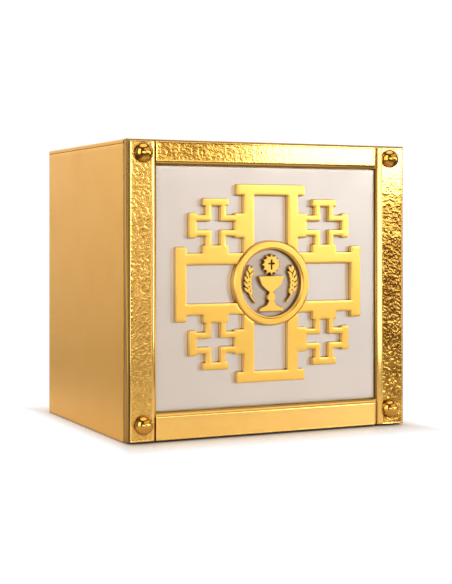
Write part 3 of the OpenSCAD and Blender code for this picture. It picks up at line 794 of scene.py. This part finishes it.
# On the right and top strips the darkness added along the strip, strongest at the right strip's middle and the top
# strip's left end, is painted shade where those parts reflect a darker room; negative values lighten the hollows.
strip("left_strip", 2, -1, 4.0 * MM, 0.24 * MM, patina_and_shade=lambda t: -0.1)
strip("right_strip", 2, 1, 5.6 * MM, 0.50 * MM,
      ease=lambda t: 1 - 0.9 * smoothstep(0.72, 0.93, t),
      patina_and_shade=lambda t: (0.2 + 0.6 * math.exp(-((t - 0.52) / 0.24) ** 2)
                        - 0.5 * smoothstep(0.7, 0.9, t)))
strip("top_strip", 0, 1, 2.6 * MM, 0.30 * MM, gap=1.5 * MM,
      ease=lambda t: 1 - 0.86 * smoothstep(0.25, 0.5, t),
      patina_and_shade=lambda t: 0.3 - 0.5 * smoothstep(0.25, 0.5, t))
strip("bottom_strip", 0, -1, 4.3 * MM, 0.06 * MM, gap=1.2 * MM, patina_and_shade=lambda t: -0.2)

# ---------------------------------------------------------------- door front

def clusters(node):
    """Vertices of the separate solids of a node."""
    verts, faces = merged(node)
    parent = list(range(len(verts)))

    def find(i):
        while parent[i] != i:
            parent[i] = parent[parent[i]]
            i = parent[i]
        return i

    for f in faces:
        for k in f[1:]:
            parent[find(k)] = find(f[0])
    groups = {}
    for i in range(len(verts)):
        groups.setdefault(find(i), []).append(i)
    return [verts[g] for g in groups.values()]


def solids(node):
    """Boxes of the separate solids of a node."""
    boxes = [(v.min(0), v.max(0)) for v in clusters(node)]
    return sorted(boxes, key=lambda bx: (round(bx[0][0], 4), round(bx[0][2], 4)))


DOME_SHANK = 2.5 * MM
DOME_RIM = 0.35 * MM
face_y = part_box("left_strip")[0].y
b = Builder()
for lo, hi in solids("dome_studs"):
    r = (hi[0] - lo[0]) / 2
    c = ((lo[0] + hi[0]) / 2, face_y, (lo[2] + hi[2]) / 2)
    back = face_y - hi[1]
    profile = [(0.0, back), (DOME_SHANK, back), (DOME_SHANK, 0.0), (0.985 * r, 0.0)]
    profile += [(r * math.cos(t), DOME_RIM + (r - DOME_RIM) * math.sin(t))
                for t in np.linspace(0, math.pi / 2, 22)[:-1]] + [(0.0, r)]
    lathe(b, c, (0, -1, 0), profile, 64)
make("dome_studs_turned", b.verts, b.faces, "dome_studs")

PANEL_RIM = 0.4 * MM
slab("silver_panel", 1, -1, SHEET_STEP, PANEL_RIM, sheet_wave(6.0, PANEL_WAVE))

cross_lo, cross_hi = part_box("cross")
b = Builder()
loops = [round_loop(loop, 1.25 * MM, 0.6 * MM) for loop in front_loops("cross")]
relief(b, loops, cross_hi.y, cross_lo.y, edge=0.55 * MM, depth=1.0 * MM, pillow=1.6 * MM,
       sag=0.12 * MM)
mark_walls(make("cross_cast", b.verts, b.faces, "cross"), b)

ring_lo, ring_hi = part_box("medallion_ring")
ring_c = (ring_lo + ring_hi) / 2
ring_r = (ring_hi.x - ring_lo.x) / 2
disc_lo, disc_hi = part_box("medallion_disc")
disc_r = (disc_hi.x - disc_lo.x) / 2
disc_t = disc_hi.y - disc_lo.y
bore_r = disc_r + 0.05 * MM
ring_t = ring_hi.y - ring_lo.y
edge = 1.9 * MM
RING_FLAT = 0.3 * MM
b = Builder()
turns = [math.pi / 2 * k / 6 for k in range(1, 7)]
profile = [(bore_r, 0.0), (bore_r, ring_t - edge)]
profile += [(bore_r + edge * math.sin(t), ring_t - edge * math.cos(t)) for t in turns]
profile += [(bore_r + edge + RING_FLAT, ring_t), (ring_r - edge - RING_FLAT, ring_t)]
profile += [(ring_r - edge, ring_t)]
profile += [(ring_r - edge + edge * math.sin(t), ring_t - edge + edge * math.cos(t))
            for t in turns]
profile += [(ring_r, 0.0), (bore_r, 0.0)]
lathe(b, (ring_c.x, ring_hi.y, ring_c.z), (0, -1, 0), profile[::-1], 128)
make("medallion_ring_turned", b.verts, b.faces, "medallion_ring")

CHAMFER, DISC_HUB = 0.3 * MM, 4 * MM
b = Builder()
profile = [(0.0, 0.0), (disc_r, 0.0), (disc_r, disc_t - CHAMFER), (disc_r - CHAMFER, disc_t)]
profile += [(r, disc_t) for r in np.linspace(disc_r - 2 * CHAMFER, DISC_HUB, 14)]
profile += [(0.0, disc_t)]
lathe(b, (ring_c.x, disc_hi.y, ring_c.z), (0, -1, 0), profile, 96)
make("medallion_disc_turned", b.verts, b.faces, "medallion_disc")

for node in ("chalice_emblem", "host_emblem", "wheat_sprays"):
    lo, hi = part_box(node)
    b = Builder()
    relief(b, front_loops(node), hi.y, lo.y, edge=0.45 * MM, depth=0.7 * MM)
    mark_walls(make(node + "_relief", b.verts, b.faces, node), b)

# ---------------------------------------------------------------- silk boards

QUILT_PITCH, QUILT_DEPTH = 34 * MM, 2.4 * MM


def quilt(seed, lo_u, lo_v):
    """Diamond quilting: padding swells between the stitch lines, with puckers beside them."""
    def shape(u, v):
        a, c = (u - lo_u) / QUILT_PITCH, (v - lo_v) / QUILT_PITCH
        p, q = a + c, a - c
        dp, dq = abs(p - round(p)), abs(q - round(q))
        near = min(dp, dq)
        swell = 1 - math.exp(-((near / 0.16) ** 1.3))
        pucker = fbm(u * 300 + seed, v * 300, seed, 2) * math.exp(-near / 0.12)
        fold = fbm(u * 60 + seed, v * 60, seed + 4.0, 3)
        h = 0.80 * swell + 0.10 * pucker + 0.10 * fold
        return QUILT_DEPTH * (0.92 - max(-0.05, min(0.9, h)))
    return shape


LINING_HOLE = 15.0 * MM
LINING_STEP, LINING_RIM = 2.6 * MM, 1.2 * MM
for node, axis, front, seed in (("floor_lining", 2, 1, 1.0), ("ceiling_lining", 2, -1, 2.0),
                                ("left_lining", 0, 1, 3.0), ("right_lining", 0, -1, 4.0),
                                ("rear_lining", 1, -1, 5.0), ("door_lining", 1, 1, 6.0)):
    lo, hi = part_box(node)
    ua, va = [a for a in range(3) if a != axis]
    hole = (lock[1], lock[2], LINING_HOLE) if node == "right_lining" else None
    slab(node, axis, front, LINING_STEP, LINING_RIM, quilt(seed, lo[ua], lo[va]), hole=hole,
         name=node.replace("_lining", "_silk"))

# ---------------------------------------------------------------- screws

SLOT_HALF = 0.42 * MM
SLOT_DEEP = 0.75 * MM
SLOT_TURN = 2.4  # radians from the slot of one screw to the next
ARC_STEPS = 12


def slotted_screw(builder, centre, out, head, cone, shank, length, lean):
    """A countersunk screw: centre is the middle of its head face, out the way the head looks and
    lean the angle of its slot. head and shank are radii; cone is the depth of the countersink."""
    u, v, w = axes_for(out)
    along = u * math.cos(lean) + v * math.sin(lean)
    across = w.cross(along)
    floor_r = head - (head - shank) * SLOT_DEEP / cone

    def half(radius, first):
        """Angles of the half circle beside the slot, and the slot's half angle at that radius."""
        a = math.asin(SLOT_HALF / radius)
        return [first + a + (math.pi - 2 * a) * k / ARC_STEPS for k in range(ARC_STEPS + 1)], a

    def ring(angles, radius, depth):
        return builder.ring(Vector(centre) - w * depth
                            + (along * math.cos(t) + across * math.sin(t)) * radius for t in angles)

    near, a = half(floor_r, 0.0)
    far, _ = half(floor_r, math.pi)
    full = near + [math.pi - a / 2, math.pi + a / 2] + far + [-a / 2, a / 2]
    tip, neck, shelf = (ring(full, r, d) for r, d in
                        ((shank, length), (shank, cone), (floor_r, SLOT_DEEP)))
    end = builder.vert(Vector(centre) - w * length)
    n = len(full)
    builder.faces += [(end, tip[(i + 1) % n], tip[i]) for i in range(n)]
    builder.bridge(tip, neck)
    builder.bridge(neck, shelf)
    at = 0
    for first in (0.0, math.pi):
        low = shelf[at:at + ARC_STEPS + 1]
        top = ring(half(head, first)[0], head, 0.0)
        builder.bridge(low, top, closed=False)
        builder.faces += [tuple(top), (low[-1], low[0], top[0], top[-1])]
        at += ARC_STEPS + 3
    m = ARC_STEPS
    builder.faces.append(tuple(shelf[k] for k in (0, m, m + 1, m + 2, m + 3, 2 * m + 3,
                                                  2 * m + 4, 2 * m + 5)))


for node in [n for n in NODES if n.endswith("_screws")]:
    b = Builder()
    for k, points in enumerate(clusters(node)):
        lo, hi = points.min(0), points.max(0)
        size = hi - lo
        axis = min(range(3), key=lambda i: abs(size[i - 1] - size[i - 2]))
        mid = (lo + hi) / 2
        heights = np.unique(np.round(points[:, axis], 5))
        flat = np.delete(points - mid, axis, axis=1)
        at_top = points[:, axis] > heights[-1] - 1e-5
        wide_top = np.hypot(*flat[at_top].T).max() > 0.4 * size[axis - 1]
        side = 1 if wide_top else -1
        cone = heights[-1] - heights[-2] if wide_top else heights[1] - heights[0]
        small = points[:, axis] < heights[0] + 1e-5 if wide_top else at_top
        out = np.zeros(3)
        out[axis] = side
        mid[axis] = hi[axis] if side > 0 else lo[axis]
        slotted_screw(b, mid, out, size[axis - 1] / 2, cone, np.hypot(*flat[small].T).max(),
                      size[axis], SLOT_TURN * k)
    make(node + "_slotted", b.verts, b.faces, node, smooth=35.0)

# ---------------------------------------------------------------- CAD pieces kept

SHARP = math.radians(30)
SAME_POINT, SLIVER = 1e-6, 1e-5
BEVELS = {"door_plate": (0.7 * MM, 3), "bottom_panel": (0.5 * MM, 2)}  # width, segments
SMALL_BEVEL = (0.25 * MM, 2)


def bevel_cad(node, width, segments):
    """Keeps the CAD mesh and softens its edges with modifiers; points that coincide are joined
    before and after, and flat faces cut up by the CAD are made whole where the bevel needs it."""
    obj = NODES[node]
    weld = obj.modifiers.new("weld", "WELD")
    weld.merge_threshold = SAME_POINT
    if node == "key" or node.endswith("hinge_arm"):
        flat = obj.modifiers.new("flat", "DECIMATE")
        flat.decimate_type = "DISSOLVE"
        flat.angle_limit = math.radians(0.5)
    mod = obj.modifiers.new("edge", "BEVEL")
    mod.width = width
    mod.segments = segments
    mod.limit_method = "ANGLE"
    mod.angle_limit = SHARP
    mod.use_clamp_overlap = True
    rejoin = obj.modifiers.new("rejoin", "WELD")
    rejoin.merge_threshold = SLIVER
    even = obj.modifiers.new("even", "WEIGHTED_NORMAL")
    even.keep_sharp = True
    obj.data.polygons.foreach_set("use_smooth", [True] * len(obj.data.polygons))
    obj.data.set_sharp_from_angle(angle=SHARP)


for node, obj in NODES.items():
    if obj.hide_render:
        continue
    obj.data.materials.clear()
    obj.data.materials.append(MATS["plate_gold" if node == "door_plate" else SLOT[node]])
    bevel_cad(node, *BEVELS.get(node, SMALL_BEVEL))

# ---------------------------------------------------------------- room

# azimuth (0 = +Y, 90 = +X, 180 = -Y), elevation, half width, half height, softness, strength
SOFT_BOXES = (
    (142.5, 4.0, 10.5, 2.4, 0.4, 9.0),
    (119.0, -2.0, 6.0, 11.0, 2.0, 3.6),
    (152.0, 13.0, 24.0, 5.0, 1.5, 2.4),
    (150.0, 36.0, 40.0, 12.0, 4.0, 0.9),
    (0.0, 90.0, 180.0, 28.0, 6.0, 1.7),
    (-108.0, 12.0, 18.0, 26.0, 3.0, 2.4),
    (176.0, -4.0, 20.0, 7.5, 2.0, 0.92),
    (205.0, 2.0, 9.0, 9.0, 2.0, 2.6),
    (-20.0, 18.0, 40.0, 22.0, 10.0, 1.1),
    (62.0, 20.0, 34.0, 22.0, 10.0, 1.0),
)
NEAR_HALF = 0.155    # the floor counts as beside the box from here, 5 mm inside its sides
BESIDE = 2.6         # a step off the casing's side counts for this many off its front
FLOOR_HALF = 0.85
FLOOR_WHITE, ROOM_WHITE = 1.02, 1.05


def floor_material():
    """Pale table: lit and faintly glossy beside the box, plain white to the eye further off, and painted dark
    further off where it is only seen in reflections.
    """
    mat, tree = new_material("floor")
    plain = mapped(tree, (1, 1, 1))
    near = distance_from_box(tree)
    rough = ramp(tree, noise_tex(tree, plain, 3.0, 3.0), 0.30, 0.38)
    path = add(tree, "ShaderNodeLightPath")
    # painted shade: the floor's colour darkens away from the box, a dark room for the reflections
    tint = mix_colour(tree, ramp(tree, near, 0.0, 1.0, 0.10, 0.52), (0.94, 0.91, 0.87),
                      (0.10, 0.08, 0.06))
    lit = add(tree, "ShaderNodeBsdfPrincipled", {"Base Color": tint, "Roughness": rough,
                                                 "Specular IOR Level": 0.45})
    white = add(tree, "ShaderNodeEmission", {"Color": (1, 1, 1, 1), "Strength": FLOOR_WHITE})
    fade = math_node(tree, "MULTIPLY", path.outputs["Is Camera Ray"],
                     ramp(tree, near, 0.0, 1.0, 0.0, 0.06))
    mix = add(tree, "ShaderNodeMixShader", {0: fade, 1: lit.outputs[0], 2: white.outputs[0]})
    out = add(tree, "ShaderNodeOutputMaterial")
    tree.links.new(mix.outputs[0], out.inputs[0])
    return mat


def distance_from_box(tree):
    """About how far a point of the floor lies outside the box, weighted more at its sides."""
    coord = add(tree, "ShaderNodeTexCoord")
    sep = add(tree, "ShaderNodeSeparateXYZ", {"Vector": coord.outputs["Object"]})
    beside, ahead = (math_node(tree, "SUBTRACT", math_node(tree, "ABSOLUTE", sep.outputs[k]), half)
                     for k, half in ((0, NEAR_HALF), (1, float(cad_hi[1]))))
    return math_node(tree, "MAXIMUM", math_node(tree, "MULTIPLY", beside, BESIDE), ahead)


def room_world():
    """Pale room to the eye; a darker studio with soft boxes in the reflections."""
    world = bpy.data.worlds.new("room")
    bpy.context.scene.world = world
    world.use_nodes = True
    tree = world.node_tree
    tree.nodes.clear()
    coord = add(tree, "ShaderNodeTexCoord")
    sep = add(tree, "ShaderNodeSeparateXYZ", {"Vector": coord.outputs["Generated"]})
    x, y, z = sep.outputs
    elev = math_node(tree, "MULTIPLY", math_node(tree, "ARCSINE", z), 180 / math.pi)
    azim = math_node(tree, "MULTIPLY", math_node(tree, "ARCTAN2", x, y), 180 / math.pi)

    def box_light(az, el, half_az, half_el, soft, value):
        da = math_node(tree, "ABSOLUTE", math_node(tree, "SUBTRACT", azim, az))
        da = math_node(tree, "MINIMUM", da, math_node(tree, "SUBTRACT", 360.0, da))
        de = math_node(tree, "ABSOLUTE", math_node(tree, "SUBTRACT", elev, el))
        a = ramp(tree, da, value, 0.0, half_az - soft, half_az + soft)
        e = ramp(tree, de, 1.0, 0.0, half_el - soft, half_el + soft)
        return math_node(tree, "MULTIPLY", a, e)

    total = ramp(tree, elev, 0.14, 0.10, 0.0, 60.0)
    for spec in SOFT_BOXES:
        total = math_node(tree, "ADD", total, box_light(*spec))
    colour = mix_colour(tree, ramp(tree, total, 0.0, 1.0, 0.5, 3.6), (1.0, 0.82, 0.64),
                        (0.96, 0.98, 1.0))
    studio = add(tree, "ShaderNodeBackground", {"Color": colour, "Strength": total})
    pale = add(tree, "ShaderNodeBackground", {"Color": (1, 1, 1, 1), "Strength": ROOM_WHITE})
    path = add(tree, "ShaderNodeLightPath")
    mix = add(tree, "ShaderNodeMixShader", {0: path.outputs["Is Camera Ray"], 1: studio.outputs[0],
                                            2: pale.outputs[0]})
    out = add(tree, "ShaderNodeOutputWorld")
    tree.links.new(mix.outputs[0], out.inputs[0])


room_world()

mesh = bpy.data.meshes.new("floor")
mesh.from_pydata([(x * FLOOR_HALF, y * FLOOR_HALF, 0)
                  for x, y in ((-1, -1), (1, -1), (1, 1), (-1, 1))], [], [(0, 1, 2, 3)])
floor = bpy.data.objects.new("floor", mesh)
bpy.context.scene.collection.objects.link(floor)
mesh.materials.append(floor_material())
floor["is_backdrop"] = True

# ---------------------------------------------------------------- camera

CAM_FROM_CORNER = Vector((-0.4636, -1.2092, 0.2142))
CAM_YAW = math.radians(25.28)
LENS_MM, SENSOR_MM = 81.33288, 36.0
SHIFT_UP = -0.1130137
plate_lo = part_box("door_plate")[0]
corner = Vector((plate_lo.x, plate_lo.y, 0.0))
cam_data = bpy.data.cameras.new("camera")
camera = bpy.data.objects.new("camera", cam_data)
bpy.context.scene.collection.objects.link(camera)
camera.location = corner + CAM_FROM_CORNER
camera.rotation_euler = (math.radians(90), 0, -CAM_YAW)
cam_data.sensor_width = SENSOR_MM
cam_data.lens = LENS_MM
cam_data.shift_y = SHIFT_UP
cam_data.clip_start = 0.02
cam_data.clip_end = 50.0
bpy.context.scene.camera = camera
bpy.context.scene.view_settings.view_transform = "Standard"

lo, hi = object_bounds()
{"cad": [list(cad_lo), list(cad_hi)], "visual": [list(lo), list(hi)]}
